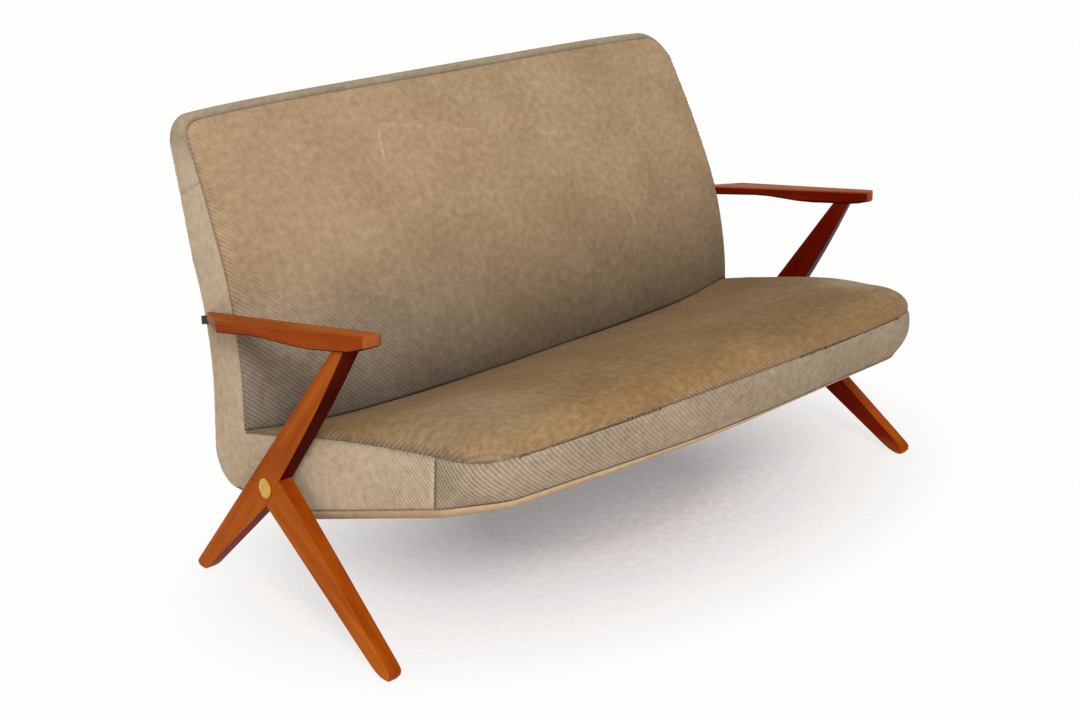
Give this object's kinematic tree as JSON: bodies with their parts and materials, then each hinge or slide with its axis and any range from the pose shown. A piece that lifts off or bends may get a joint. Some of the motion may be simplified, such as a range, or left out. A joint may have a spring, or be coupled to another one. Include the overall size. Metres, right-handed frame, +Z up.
{
  "type": "two-seat sofa",
  "caption": "Low lounge sofa with an L-shaped twill-upholstered seat and back bolted between open slanted teak side frames with slim armrests.",
  "frame": {"origin": "on the floor, under the middle of the sofa's width and depth", "axes": "+X along the sofa towards the sitter's left, that is image right; +Y towards the back; +Z up"},
  "size_m": [1.3018, 0.7814, 0.7832],
  "materials": {
    "teak": "oiled, satin",
    "beech": "plain sawn",
    "twill": "coarse diagonal twill, worn",
    "foam": "foam rubber with wadding",
    "webbing": "elastic webbing",
    "dust_cloth": "thin plain weave",
    "brass": "aged, satin",
    "steel": "dark, dull"
  },
  "bodies": {
    "root": {"arm_bracket_left": "steel", "arm_bracket_right": "steel", "arm_dowel_left": "beech", "arm_dowel_right": "beech", "armrest_left": "teak", "armrest_right": "teak", "back_front_cover": "twill", "back_lower_rail": "beech", "back_middle_rail": "beech", "back_padding": "foam", "back_stile_left": "beech", "back_stile_right": "beech", "back_top_band": "twill", "back_top_rail": "beech", "back_webbing": "webbing", "bolt_nut_left": "steel", "bolt_nut_right": "steel", "bolt_spacer_left": "steel", "bolt_spacer_right": "steel", "bolt_washer_left": "steel", "bolt_washer_right": "steel", "bracket_arm_pin_left": "steel", "bracket_arm_pin_right": "steel", "bracket_back_pin_left": "steel", "bracket_back_pin_right": "steel", "corner_block_front_left": "beech", "corner_block_front_right": "beech", "corner_block_rear_left": "beech", "corner_block_rear_right": "beech", "dust_cloth": "dust_cloth", "frame_bolt_left": "brass", "frame_bolt_right": "brass", "front_band": "twill", "front_leg_left": "teak", "front_leg_right": "teak", "leg_dowel_lower_left": "beech", "leg_dowel_lower_right": "beech", "leg_dowel_upper_left": "beech", "leg_dowel_upper_right": "beech", "lower_border": "twill", "outside_back_cover": "twill", "seat_front_dowel_left": "beech", "seat_front_dowel_right": "beech", "seat_front_rail": "beech", "seat_padding": "foam", "seat_rear_rail": "beech", "seat_side_rail_left": "beech", "seat_side_rail_right": "beech", "seat_top_cover": "twill", "seat_webbing": "webbing", "side_panel_left": "twill", "side_panel_right": "twill", "stile_foot_dowel_left": "beech", "stile_foot_dowel_right": "beech", "strut_left": "teak", "strut_right": "teak", "top_rail_dowel_left": "beech", "top_rail_dowel_right": "beech"}
  },
  "joints": []
}
